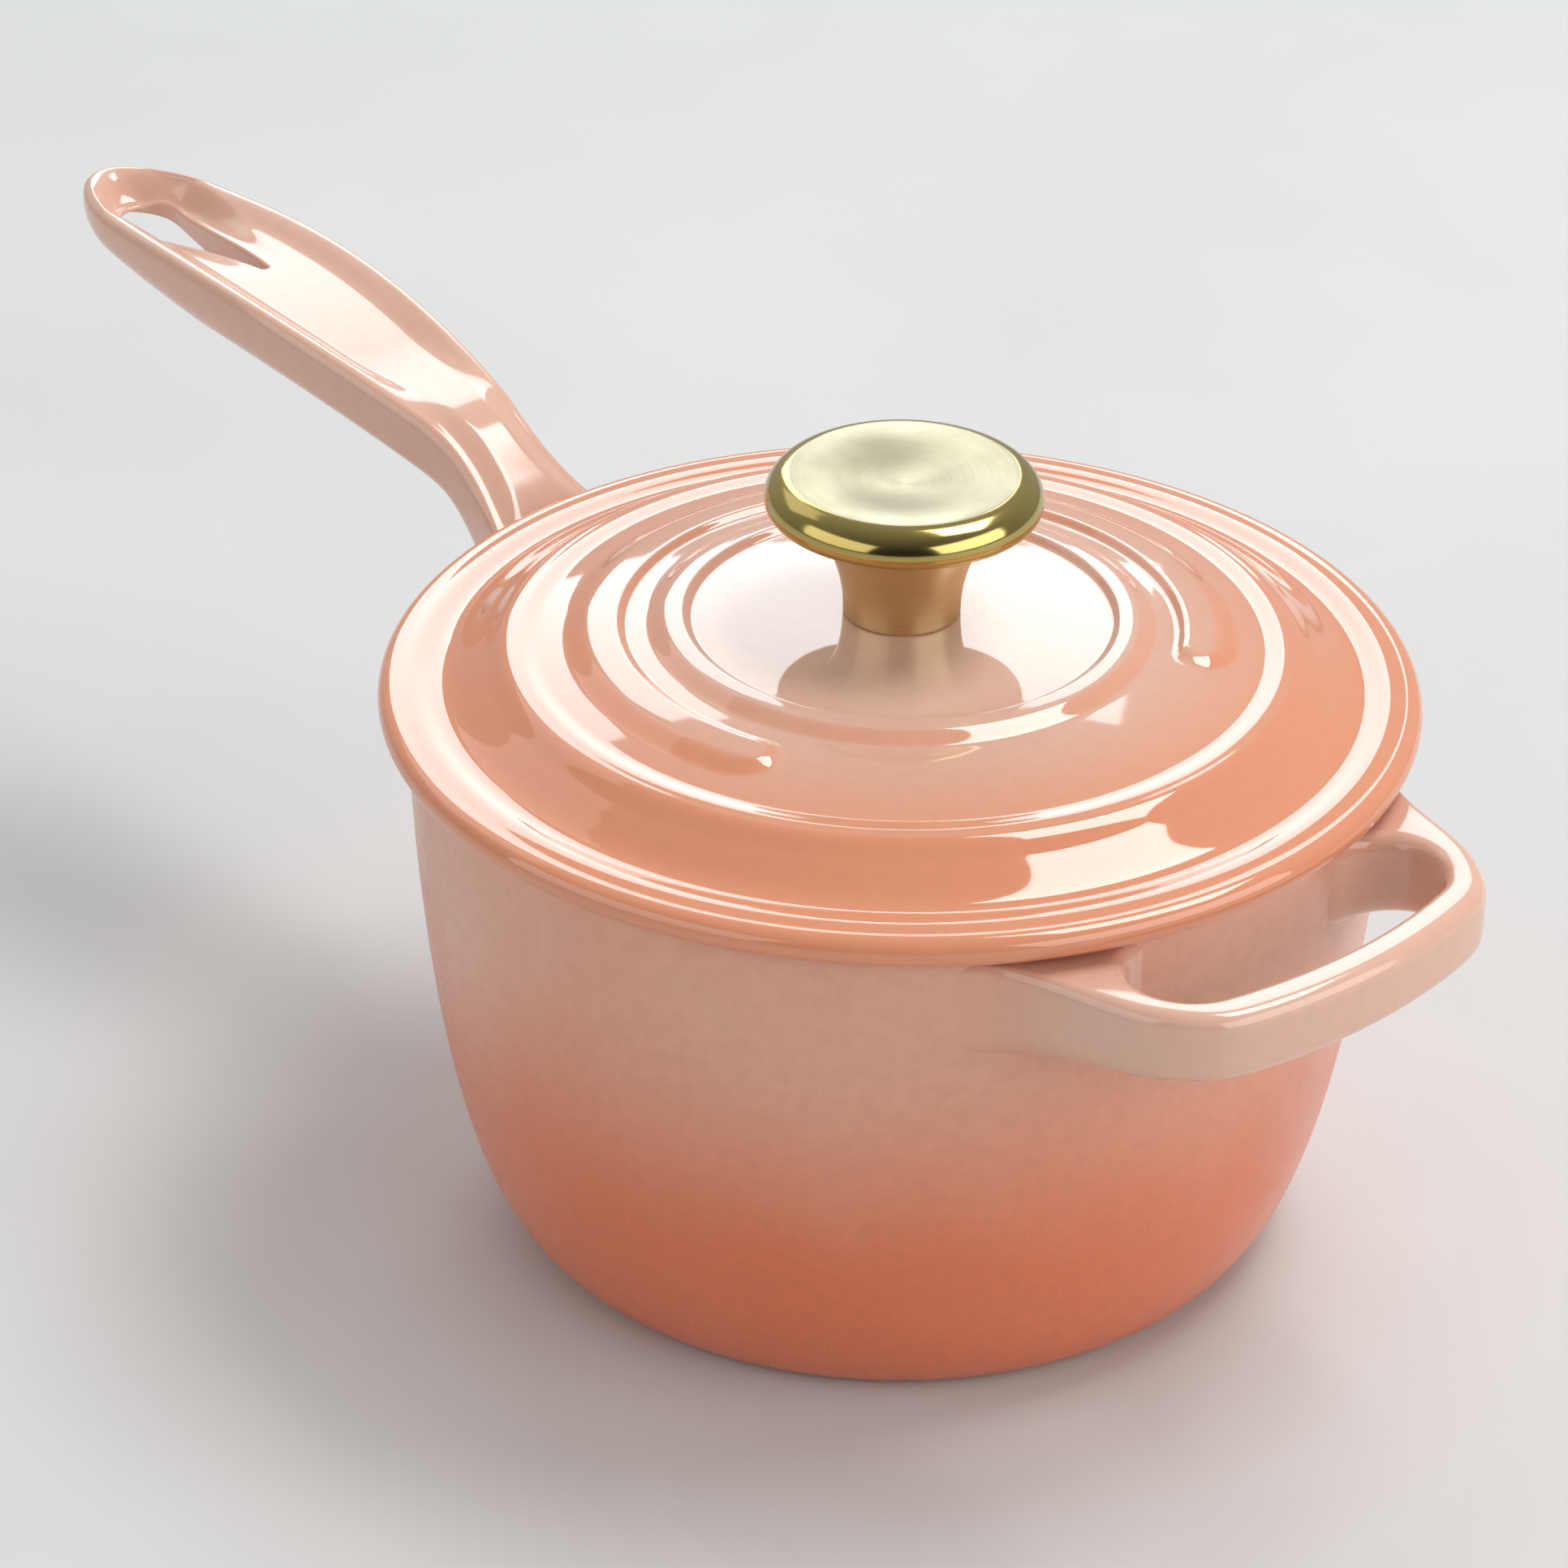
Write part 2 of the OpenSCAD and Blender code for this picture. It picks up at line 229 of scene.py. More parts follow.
def ring_z(r, ring, height):
    """A ring: up over its inner flank, level along its crest, down over its outer flank."""
    return height * ease((r - ring[0]) / (ring[1] - ring[0])) * ease((ring[3] - r) / (ring[3] - ring[2]))


def lid_grid(turns):
    """The lid as a closed profile carried round Z. The broken ring's height fades out over rounded ends."""
    hole = line(HOLE_R, UNDER_Z + 0.3, HOLE_R, CROWN_Z - 0.3, 4)
    top_r = np.concatenate([
        np.linspace(HOLE_R + 0.3, 12.0, 6), np.arange(13.5, 34.5, 1.5), np.arange(35.0, 72.0, 0.45),
        np.arange(72.0, 79.6, 0.6),
    ])
    band_r = np.linspace(79.9, 86.3, 12)
    band = np.stack([band_r, EDGE_TOP + BAND_SWELL * np.sin(np.pi * (band_r - 79.5) / 6.8) ** 2], axis=1)
    edge = arc(LID_R - EDGE_T / 2, PAN_H + EDGE_T / 2, EDGE_T / 2, 84, -90, 18)
    lip_foot = PAN_H - LIP_DEPTH
    lip = np.concatenate([
        line(85.0, PAN_H, LIP_OUTER_R + 0.7, PAN_H, 4),
        arc(LIP_OUTER_R + 0.5, PAN_H - 0.5, 0.5, 90, 180, 4),
        arc(LIP_OUTER_R - 1.4, lip_foot + 1.4, 1.4, 0, -90, 7),
        arc(LIP_OUTER_R - LIP_W + 1.4, lip_foot + 1.4, 1.4, 270, 180, 7),
    ])
    under_r = np.concatenate([
        [76.1, 75.6, 74.6], np.arange(73.5, 12.0, -1.5), np.linspace(12.0, HOLE_R + 0.3, 4),
    ])
    # The dome's underside starts at the lip, a little above the rim's level.
    under_z = np.minimum(dome_z(under_r) - DOME_T, PAN_H + 0.5 + 6.0 * np.clip(76.2 - under_r, 0, None))
    under = np.stack([under_r, under_z], axis=1)
    rings = ring_z(top_r, INNER_RING, INNER_RING_H), ring_z(top_r, SHOULDER_RING, SHOULDER_RING_H)
    top = np.stack([top_r, dome_z(top_r) + rings[0] + rings[1]], axis=1)
    profile = np.concatenate([hole, top, band, edge, lip, under])
    grid = turned(profile, turns)

    turn = (np.arange(turns) * 360.0 / turns - BROKEN_FROM) % 360.0
    beyond_end = np.radians(np.minimum(turn, BROKEN_SWEEP - turn)) * 50.6
    rows = slice(len(hole), len(hole) + len(top))
    across = top_r[:, None] - 51.0
    mask = ease((beyond_end[None, :] - 0.12 * across ** 2) / 4.5)
    grid[rows, :, 2] += ring_z(top_r, BROKEN_RING, BROKEN_RING_H)[:, None] * mask
    return grid


def lid_lining_profile():
    """Skin under the dome, from the screw's hole out to the lip, half a millimetre thick."""
    r = np.concatenate([[HOLE_R], np.linspace(12.0, 73.0, 50)])
    upper = np.stack([r, dome_z(r) - DOME_T], axis=1)
    lower = np.stack([r, dome_z(r) - DOME_T - LINING_T], axis=1)[::-1]
    return np.concatenate([upper, lower])


def cap_profile():
    """Knob's cap: a dish that falls by a cosine squared, a broad bevel, a short skirt and a hollow inside."""
    r = np.linspace(0.0, CAP_RIM_R - 0.1, 60)
    dish = np.stack([r, KNOB_TOP - CAP_DISH * np.cos(0.5 * np.pi * r / CAP_RIM_R) ** 2], axis=1)
    a = np.radians(np.linspace(90, 0, 30))
    bevel_r = CAP_RIM_R + (KNOB_R - CAP_RIM_R) * np.cos(a)
    bevel = np.stack([bevel_r, KNOB_TOP - BEVEL_H + BEVEL_H * np.sin(a)], axis=1)
    skirt = np.array([
        [23.58, 135.9], [23.45, 135.4], [23.2, 134.95], [22.9, 134.62], [22.6, 134.45], [22.2, 134.4],
        [21.2, 134.4],
    ])
    inside_r = np.linspace(17.0, 0.0, 16)
    inside = np.stack([inside_r, KNOB_TOP - 1.6 - CAP_DISH * (1.0 - (inside_r / CAP_RIM_R) ** 2)], axis=1)
    return np.concatenate([dish, bevel, skirt, [[21.6, 136.2]], inside])


def neck_profile():
    """Knob's neck: a column whose radius is 10 + 5 t^2.2 up to the flare, then a cone out to the cap."""
    t = np.linspace(0.0, 1.0, 40)
    flare_top = KNOB_TOP - 9.6
    waist = np.stack([NECK_R + NECK_FLARE * t ** 2.2, CROWN_Z + (flare_top - CROWN_Z) * t], axis=1)
    waist[0] = (9.6, CROWN_Z)
    foot = arc(9.6, CROWN_Z + 0.4, 0.4, -60, 0, 4)
    plate = np.array([
        [15.7, 131.9], [16.4, 132.3], [17.5, 132.75], [19.2, 133.35], [21.0, 133.95], [22.3, 134.33],
        [22.5, 134.45], [21.2, 134.45], [14.0, 132.9], [8.0, 128.6], [5.0, 128.6], [5.0, 116.6], [3.5, 116.6],
        [3.5, CROWN_Z],
    ])
    return np.concatenate([waist[:1], foot, waist[1:], plate])


def washer_profile():
    """Flat ring with softened corners."""
    low = HEAD_TOP
    high = HEAD_TOP + WASHER_T
    return np.concatenate([
        arc(3.25, low + 0.2, 0.2, 180, 270, 4), arc(7.7, low + 0.3, 0.3, 270, 360, 6),
        arc(7.7, high - 0.3, 0.3, 0, 90, 6), arc(3.25, high - 0.2, 0.2, 90, 180, 4),
    ])


def screw_grid(turns):
    """Screw: a pan head with a cross recess, and a shank waved as a helix, one wave a millimetre."""
    top = HEAD_TOP + SHANK_L
    face_r = np.linspace(0.0, 4.0, 30)
    face = np.stack([face_r, np.full_like(face_r, HEAD_TOP - HEAD_H)], axis=1)
    head = np.concatenate([
        face, arc(3.9, HEAD_TOP - 1.7, 1.5, 275, 350, 10), arc(5.1, HEAD_TOP - 0.4, 0.4, 0, 90, 5),
    ])
    shank_z = np.arange(HEAD_TOP + 0.01, top - 0.6, 0.09)
    shank = np.stack([np.full_like(shank_z, SHANK_R), shank_z], axis=1)
    tip = np.array([[2.5, top - 0.15], [2.3, top], [1.2, top], [0.0, top]])
    grid = turned(np.concatenate([head, shank, tip]), turns)
    a = np.arange(turns) * TAU / turns
    wave = 0.5 - 0.5 * np.cos(TAU * (shank_z[:, None] - a[None, :] / TAU))
    reach = ease((shank_z - HEAD_TOP - 1.5) / 1.0)[:, None]
    radius = SHANK_R - THREAD_D * reach * wave ** 0.7
    rows = slice(len(head), len(head) + len(shank))
    grid[rows, :, 0] = radius * np.cos(a)
    grid[rows, :, 1] = radius * np.sin(a)
    # The recess is as deep as the nearer of its two slots allows.
    x = np.abs(grid[:len(face), :, 0])
    y = np.abs(grid[:len(face), :, 1])
    narrow = np.minimum(x, y)
    wide = np.maximum(x, y)
    grid[:len(face), :, 2] += CROSS_D * ease((0.75 - narrow) / 0.3) * ease((3.1 - wide) / 0.4)
    return grid


def spline_weights(control_points, steps):
    """Weights of a uniform cubic B-spline at evenly spaced parameters, one row for each point."""
    spans = control_points - 3
    u = np.linspace(0.0, spans, steps)
    span = np.minimum(u.astype(int), spans - 1)
    t = u - span
    basis = np.stack([
        (1 - t) ** 3, 3 * t ** 3 - 6 * t ** 2 + 4, -3 * t ** 3 + 3 * t ** 2 + 3 * t + 1, t ** 3,
    ], axis=1) / 6.0
    weights = np.zeros((steps, control_points))
    rows = np.arange(steps)
    for k in range(4):
        weights[rows, span + k] = basis[:, k]
    return weights


# Long handle, with s as the distance from the pan's axis
REACH = 223.0
TIP_S = 207.0
# Teardrop outlines of the hanging hole: the notch's centre s and radius, then the round end's
HOLE_ABOVE = (172.5, 1.4, TIP_S, 6.6)
HOLE_BELOW = (177.0, 2.4, 207.3, 6.3)
EDGE_ROUND = 0.7
FLARE_W = 12.0
SWEEP_DROP = 13.7
SWEEP_L = 86.0
NECK_FROM = 84.0
NECK_TO = 116.0
LEVEL_Z = 121.0
LEVEL_S = 190.0
WALL_DROP = 3.5
GRIP_DEPTH = 12.6
THINNING = 0.38
ROOT_EXTRA = 8.0
CHANNEL_D = 2.4
CHANNEL_SIDE = 5.0
FUNNEL_D = 2.8


def round_end(s):
    """Falls from 1 at s = 203 to 0 at the tip, as a quarter of an ellipse."""
    return np.sqrt(np.clip(1.0 - (np.clip(s - 203.0, 0, None) / 20.0) ** 2, 0.0, 1.0))


def grip_half(s):
    """Half width: a sine swell that is widest at s = 168, a quadratic flare at the pan and a round end."""
    swell = 8.2 + 7.3 * np.sin(np.radians(90.0 * (s - 100.0) / 68.0))
    return round_end(s) * swell + FLARE_W * (np.clip(112.0 - s, 0, None) / 28.0) ** 2


def sweep_z(s):
    """Height of the ridge past the neck: level at the tip, and a parabola down from s = 190."""
    return LEVEL_Z - SWEEP_DROP * (np.clip(LEVEL_S - s, 0, None) / SWEEP_L) ** 2


def grip_top_z(s):
    """Height of the ridge: a cubic S from the wall, under the lid's edge, that joins the sweep at s = 116."""
    span = NECK_TO - NECK_FROM
    t = np.clip((s - NECK_FROM) / span, 0.0, 1.0)
    low = PAN_H - WALL_DROP
    sweep_slope = 2.0 * SWEEP_DROP * (LEVEL_S - NECK_TO) / SWEEP_L ** 2
    settle = span * (0.25 * t * (1.0 - t) ** 2 - sweep_slope * t * t * (1.0 - t))
    return np.where(s > NECK_TO, sweep_z(s), low + (sweep_z(NECK_TO) - low) * ease(t) + settle)


def teardrop(hole, notch_steps, side_steps, fan_angles):
    """Half of a teardrop outline, from its notch round to its tip, and the outward normals.

    Two circles are joined by their common tangent: a small arc, a straight side, and an arc whose points lie
    at the given shares of its angle.
    """
    notch_s, notch_r, tip_s, tip_r = hole
    lean = math.degrees(math.asin((tip_r - notch_r) / (tip_s - notch_s)))
    small = np.radians(np.linspace(180.0, 90.0 + lean, notch_steps))
    share = np.linspace(0.0, 1.0, side_steps + 2)[1:-1]
    large = np.radians(90.0 + lean - (90.0 + lean) * fan_angles)
    angle = np.concatenate([small, np.full(side_steps, math.radians(90.0 + lean)), large])
    steps = len(large)
    centre = np.concatenate([
        np.full(notch_steps, notch_s), notch_s + (tip_s - notch_s) * share, np.full(steps, tip_s),
    ])
    radius = np.concatenate([
        np.full(notch_steps, notch_r), notch_r + (tip_r - notch_r) * share, np.full(steps, tip_r),
    ])
    normal = np.stack([np.cos(angle), np.sin(angle)], axis=1)
    return np.stack([centre, np.zeros(len(centre))], axis=1) + radius[:, None] * normal, normal


def gap_to_hole(s, y):
    """Distance from (s, y) to the hanging hole's upper edge: the nearest of a row of circles along it."""
    share = np.linspace(0.0, 1.0, 60)
    notch_s, notch_r, tip_s, tip_r = HOLE_ABOVE
    centre = notch_s + (tip_s - notch_s) * share
    radius = notch_r + (tip_r - notch_r) * share
    return (np.hypot(s[..., None] - centre, y[..., None]) - radius).min(axis=-1)


def held_in_wall(points):
    """Moves points that lie too far in out along their radius, to ROOT_DEPTH inside the pan's surface."""
    inside = outer_r(np.clip(points[:, :, 2], 1.0, PAN_H)) - ROOT_DEPTH
    r = np.hypot(points[:, :, 0], points[:, :, 1])
    push = np.maximum(inside / r, 1.0)
    return points * np.stack([push, push, np.ones_like(push)], axis=2)


def long_handle_grids():
    """Half sections are placed along a path: across the handle up to the hole's centre, then fanned round it.

    The top, from the middle or the hole's edge to the ridge, is the ridge's height, less the channel's depth
    eased in over 5 mm from the ridge, less a funnel eased in over 5 mm round the hole. From the ridge, over
    the side and under to the middle or the hole's lower edge, each half section is a cubic B-spline.
    """
    fan = np.concatenate([np.linspace(0.0, 0.09, 3, endpoint=False), np.linspace(0.09, 1.0, 36)])
    upper, upper_normal = teardrop(HOLE_ABOVE, 12, 30, fan)
    below, below_normal = teardrop(HOLE_BELOW, 12, 30, fan)
    neck_s = np.concatenate([np.arange(81.0, 100.0, 1.0), np.linspace(100.0, upper[0, 0], 56)])[:-1]
    neck = len(neck_s)
    hole = len(upper)

    edge_s = TIP_S + (REACH - TIP_S) * np.sin(np.linspace(0.0, np.pi / 2, 400))
    edge_angle = np.arctan2(grip_half(edge_s), edge_s - TIP_S)
    edge_r = np.hypot(grip_half(edge_s), edge_s - TIP_S)

    # Each half section runs from start towards out_dir as far as the outline.
    start = np.concatenate([np.stack([neck_s, np.zeros(neck)], axis=1), upper])
    fanned = start[:, 0] > TIP_S
    angle = np.where(fanned, np.arctan2(start[:, 1], start[:, 0] - TIP_S), np.pi / 2)
    origin_s = np.where(fanned, TIP_S, start[:, 0])
    out_dir = np.stack([np.where(fanned, np.cos(angle), 0.0), np.where(fanned, np.sin(angle), 1.0)], axis=1)
    near = np.hypot(start[:, 0] - origin_s, start[:, 1])
    far = np.where(fanned, np.interp(angle, edge_angle[::-1], edge_r[::-1]), grip_half(start[:, 0]))
    origin = np.stack([origin_s, np.zeros(neck + hole)], axis=1)

    def at(a):
        """Points at distance a along each half section."""
        return origin + out_dir * a[:, None]

    where_s = at(far)[:, 0]
    top = grip_top_z(where_s)
    thin = 1.0 - THINNING * ease((where_s - 168.0) / 57.0)
    root = ROOT_EXTRA * ease((112.0 - where_s) / 26.0)
    depth = GRIP_DEPTH * thin * (0.82 + 0.18 * round_end(where_s)) + root
    crown = 0.4 + 1.6 * ease((where_s - 89.0) / 8.0)
    channel = (CHANNEL_D + crown) * ease((where_s - 104.0) / 34.0) - crown
    ridge = far - np.minimum(2.2, far / 3)

    share = 1.0 - np.linspace(1.0, 0.0, 36) ** 1.3
    across = near[:, None] + (ridge - near)[:, None] * share
    flat = origin[:, None, :] + out_dir[:, None, :] * across[:, :, None]
    from_ridge = ridge[:, None] - across
    from_hole = gap_to_hole(flat[:, :, 0], flat[:, :, 1])
    funnel = FUNNEL_D * ease((flat[:, :, 0] - 168.0) / 38.0) * ease(1.0 - from_hole / CHANNEL_SIDE)
    level = grip_top_z(np.minimum(flat[:, :, 0], 221.0))
    top_z = level - channel[:, None] * ease(from_ridge / CHANNEL_SIDE) - funnel
    upper_part = np.concatenate([flat, top_z[:, :, None]], axis=2)

    # Underneath, the neck's sections lean towards the tip, so that they meet the hole's lower edge.
    lower_edge = below + EDGE_ROUND * below_normal
    lean_s = neck_s + (lower_edge[0, 0] - upper[0, 0]) * ease((neck_s - 150.0) / (upper[0, 0] - 150.0))
    inner = np.concatenate([np.stack([lean_s, np.zeros(neck)], axis=1), lower_edge])
    keel = at(0.86 * far)
    control = [
        (at(ridge - 0.7), top), (at(ridge), top), (at(ridge + 0.7), top), (at(far - 0.75), top - 0.55),
        (at(far - 0.12), top - 0.14 * depth), (at(far), top - 0.30 * depth), (at(far), top - 0.47 * depth),
        (at(0.975 * far), top - 0.70 * depth), (keel, top - 0.91 * depth),
        (keel + 0.33 * (inner - keel), top - depth), (keel + 0.66 * (inner - keel), top - depth),
        (inner, top - depth), (inner + 0.34 * (inner - keel), top - depth),
    ]
    points = np.stack([np.concatenate([place, z[:, None]], axis=1) for place, z in control])
    lower_part = np.einsum("kc,crx->rkx", spline_weights(len(control), 48), points)
    section = np.concatenate([upper_part, lower_part[:, 1:]], axis=1)
    section = held_in_wall(section) * np.array([-1.0, 1.0, 1.0])

    # Wall of the hole: rounded in from its upper edge, straight down, and rounded out to its lower edge
    high = section[neck:, 0]
    low = section[neck:, -1]
    flip = np.array([-1.0, 1.0])
    bend = np.linspace(0.0, np.pi / 2, 7)
    tuck = EDGE_ROUND * np.sin(bend)[:, None]
    drop = EDGE_ROUND * (1 - np.cos(bend))
    over_xy = high[:, None, :2] - tuck * (upper_normal * flip)[:, None, :]
    over = np.concatenate([over_xy, (high[:, 2:3] - drop)[:, :, None]], axis=2)
    under_xy = low[:, None, :2] - tuck * (below_normal * flip)[:, None, :]
    under = np.concatenate([under_xy, (low[:, 2:3] + drop)[:, :, None]], axis=2)
    run = np.linspace(0.0, 1.0, 9)[1:-1, None]
    side = over[:, -1:] + run * (under[:, -1:] - over[:, -1:])
    wall = np.concatenate([over, side, under[:, ::-1]], axis=1)

    middle_point = section[0].mean(axis=0) * np.array([1.0, 0.0, 1.0])
    cap = np.stack([section[0], np.broadcast_to(middle_point, section[0].shape)])
    mirror = np.array([1.0, -1.0, 1.0])
    return [
        (section, False, False), (section * mirror, False, False),
        (wall, False, False), (wall * mirror, False, False),
        (cap, False, False), (cap * mirror, False, False),
    ]


# Helper handle's farthest reach, top, underside, and how much lower its ends run
BOW_R = 112.0
BOW_TOP = 95.5
BOW_LOW = 83.0
BOW_END_DROP = 5.0
# Helper handle's outline: control radius at each of these angles from +X, in degrees
BOW_ANGLES = (
    -13.0, -5.0, 0.0, 5.0, 10.0, 13.5, 15.5, 17.5, 20.0, 22.5, 25.0, 28.0, 31.0, 34.0, 37.0, 40.0, 43.0, 46.0,
    49.0,
)
BOW_RADII = (
    BOW_R, BOW_R, BOW_R, BOW_R, BOW_R, BOW_R, 111.6, 110.3, 107.2, 103.4, 98.0, 91.8, 87.4, 85.1, 84.1, 83.2,
    82.2, 81.0, 79.5,
)
# The finger gap: an arc with round ends, tangent to the pan's wall
GAP_MIDDLE_R = 94.3
GAP_HALF_ANGLE = 14.0
GAP_END_R = 10.2


def helper_handle_grids():
    """A rounded box section between the gap's outline and the bow's outer B-spline, from wall to wall.

    It deepens by a smooth step where the arms run down into the wall.
    """
    bow = 26
    arm = 56
    weights = spline_weights(len(BOW_ANGLES), 800)
    angle = weights @ np.array(BOW_ANGLES)
    radius = weights @ np.array(BOW_RADII)
    keep = angle > 0
    outline = np.stack([radius * np.cos(np.radians(angle)), radius * np.sin(np.radians(angle))], axis=1)[keep]
    outline[0] = (BOW_R, 0.0)
    length = np.concatenate([[0.0], np.cumsum(np.hypot(*np.diff(outline, axis=0).T))])

    turn = np.radians(np.linspace(0.0, GAP_HALF_ANGLE, bow))
    reach = GAP_MIDDLE_R + GAP_END_R
    gap_bow = reach * np.stack([np.cos(turn), np.sin(turn)], axis=1)
    round_end = np.radians(GAP_HALF_ANGLE + 185.0 * np.linspace(0.0, 1.0, arm + 1)[1:])
    centre = GAP_MIDDLE_R * np.array([math.cos(turn[-1]), math.sin(turn[-1])])
    gap_arm = centre + GAP_END_R * np.stack([np.cos(round_end), np.sin(round_end)], axis=1)
    gap_arm *= (1.0 - 0.022 * ease((np.linspace(0.0, 1.0, arm) - 0.86) / 0.14))[:, None]
    inner = np.concatenate([gap_bow, gap_arm])

    bow_length = BOW_R * turn[-1]
    share = np.linspace(0.0, 1.0, arm + 1)[1:]
    walk = np.concatenate([np.linspace(0.0, bow_length, bow), bow_length + (length[-1] - bow_length) * share])
    outer = np.stack([np.interp(walk, length, outline[:, k]) for k in (0, 1)], axis=1)

    flip = np.array([1.0, -1.0])
    inner = np.concatenate([(inner * flip)[:0:-1], inner])
    outer = np.concatenate([(outer * flip)[:0:-1], outer])
    run = np.concatenate([np.zeros(bow), share])
    run = np.concatenate([run[:0:-1], run])
    width = np.hypot(*(outer - inner).T)
    out_dir = (outer - inner) / width[:, None]
    top = np.full(len(run), BOW_TOP)
    low = BOW_LOW - BOW_END_DROP * ease(run)

    # Each corner: whether it is outside, whether on top, its radius, how much that grows, and its first angle
    rounds = ((1, 1, 2.4, 0.6, 0), (0, 1, 2.2, 0.8, 90), (0, 0, 3.0, 2.0, 180), (1, 0, 3.3, 3.0, 270))
    corners = []
    for side, height, small, grown, first in rounds:
        a = np.radians(np.linspace(first, first + 90, 12))
        r = small + grown * ease(run)
        centre_a = side * width + r - 2 * r * side
        centre_z = height * top + (1 - height) * low + r - 2 * r * height
        corner_a = centre_a[:, None] + r[:, None] * np.cos(a)
        corner_z = centre_z[:, None] + r[:, None] * np.sin(a)
        corners.append(np.stack([corner_a, corner_z], axis=2))
    # Points between the corners let the straight sides follow the round wall.
    between = np.linspace(0.0, 1.0, 16)[1:-1, None]
    sides = []
    for corner, following in zip(corners, corners[1:] + corners[:1]):
        sides += [corner, corner[:, -1:] + between * (following[:, :1] - corner[:, -1:])]
    loop = np.concatenate(sides, axis=1)
    # A slight crown on the top and the underside, so that highlights travel
    across = loop[:, :, 0]
    crown = 0.3 * (1 - (2 * across / width[:, None] - 1) ** 2)
    middle = 0.5 * (top + low)[:, None]
    up = loop[:, :, 1] + np.where(loop[:, :, 1] > middle, crown - 0.3, -crown)
    flat = inner[:, None, :] + out_dir[:, None, :] * across[:, :, None]
    grid = held_in_wall(np.concatenate([flat, up[:, :, None]], axis=2))
    grids = [(grid, False, True)]
    for ring in (grid[0], grid[-1]):
        middle_point = np.broadcast_to(ring.mean(axis=0), ring.shape)
        grids.append((held_in_wall(np.stack([ring, middle_point])), False, True))
    return grids


# ---------------------------------------------------------------- materials

def add(tree, kind, inputs=None, **settings):
    """A node with its settings and inputs. An input is a value or another node's output."""
    node = tree.nodes.new(kind)
    for key, value in settings.items():
        setattr(node, key, value)
    for key, value in (inputs or {}).items():
        if isinstance(value, bpy.types.NodeSocket):
            tree.links.new(value, node.inputs[key])
        else:
            node.inputs[key].default_value = value
    return node


def math_node(tree, operation, a, b=0.0):
    return add(tree, "ShaderNodeMath", {0: a, 1: b}, operation=operation).outputs[0]


def length_of(tree, x, y):
    """Square root of x^2 + y^2."""
    squares = [math_node(tree, "MULTIPLY", value, value) for value in (x, y)]
    return math_node(tree, "SQRT", math_node(tree, "ADD", *squares))


def blend(tree, factor, a, b):
    """Mix of two colours."""
    node = add(tree, "ShaderNodeMix", {"Factor": factor, "A": a, "B": b}, data_type="RGBA")
    return node.outputs[2]


def mapped(tree, value, low, high, to_low=0.0, to_high=1.0, smooth=True):
    """value taken from low..high to to_low..to_high."""
    inputs = {"Value": value, "From Min": low, "From Max": high, "To Min": to_low, "To Max": to_high}
    kind = "SMOOTHSTEP" if smooth else "LINEAR"
    return add(tree, "ShaderNodeMapRange", inputs, interpolation_type=kind).outputs[0]


def noise(tree, vector, scale, detail=2.0, roughness=0.5):
    inputs = {"Vector": vector, "Scale": scale, "Detail": detail, "Roughness": roughness}
    return add(tree, "ShaderNodeTexNoise", inputs).outputs[0]


def group(name, inputs, outputs):
    """An empty shader node group with named sockets. Each socket is given as (name, kind, starting value)."""
    tree = bpy.data.node_groups.new(name, "ShaderNodeTree")
    for label, kind, value in inputs:
        socket = tree.interface.new_socket(name=label, in_out="INPUT", socket_type=kind)
        if value is not None:
            socket.default_value = value
    for label, kind in outputs:
        tree.interface.new_socket(name=label, in_out="OUTPUT", socket_type=kind)
    return tree, tree.nodes.new("NodeGroupInput"), tree.nodes.new("NodeGroupOutput")


COLOUR = "NodeSocketColor"
NUMBER = "NodeSocketFloat"
VECTOR = "NodeSocketVector"


def enamel_group():
    """Fired enamel: a blend of two colours with clouds, fine grain, a rippled surface and varying gloss."""
    tree, given, made = group("Fired enamel", [
        ("Position", VECTOR, None), ("Light", COLOUR, (1, 1, 1, 1)), ("Deep", COLOUR, (0, 0, 0, 1)),
        ("Blend", NUMBER, 0.5), ("Clouds", NUMBER, 0.1), ("Speckle", NUMBER, 0.1), ("Gloss", NUMBER, 0.08),
    ], [("Colour", COLOUR), ("Roughness", NUMBER), ("Ripple", NUMBER)])
    place = given.outputs["Position"]
    clouds = noise(tree, place, 22.0, 3.0, 0.55)
    shifted = math_node(tree, "MULTIPLY", math_node(tree, "SUBTRACT", clouds, 0.5), given.outputs["Clouds"])
    terms = {0: given.outputs["Blend"], 1: shifted}
    share = add(tree, "ShaderNodeMath", terms, operation="ADD", use_clamp=True)
    base = blend(tree, share.outputs[0], given.outputs["Light"], given.outputs["Deep"])
    grain = mapped(tree, noise(tree, place, 360.0, 1.0, 0.5), 0.35, 0.75, smooth=False)
    fleck = math_node(tree, "MULTIPLY", grain, given.outputs["Speckle"])
    tree.links.new(blend(tree, fleck, base, (0.28, 0.12, 0.07, 1)), made.inputs["Colour"])
    gloss = noise(tree, place, 60.0, 3.0, 0.6)
    uneven = mapped(tree, gloss, 0.3, 0.75, 0.75, 1.3, smooth=False)
    tree.links.new(math_node(tree, "MULTIPLY", uneven, given.outputs["Gloss"]), made.inputs["Roughness"])
    broad = noise(tree, place, 95.0, 1.0, 0.4)
    fine = noise(tree, place, 280.0, 1.0, 0.5)
    ripple = add(tree, "ShaderNodeMath", {0: fine, 1: 0.22, 2: broad}, operation="MULTIPLY_ADD")
    tree.links.new(ripple.outputs[0], made.inputs["Ripple"])
    return tree


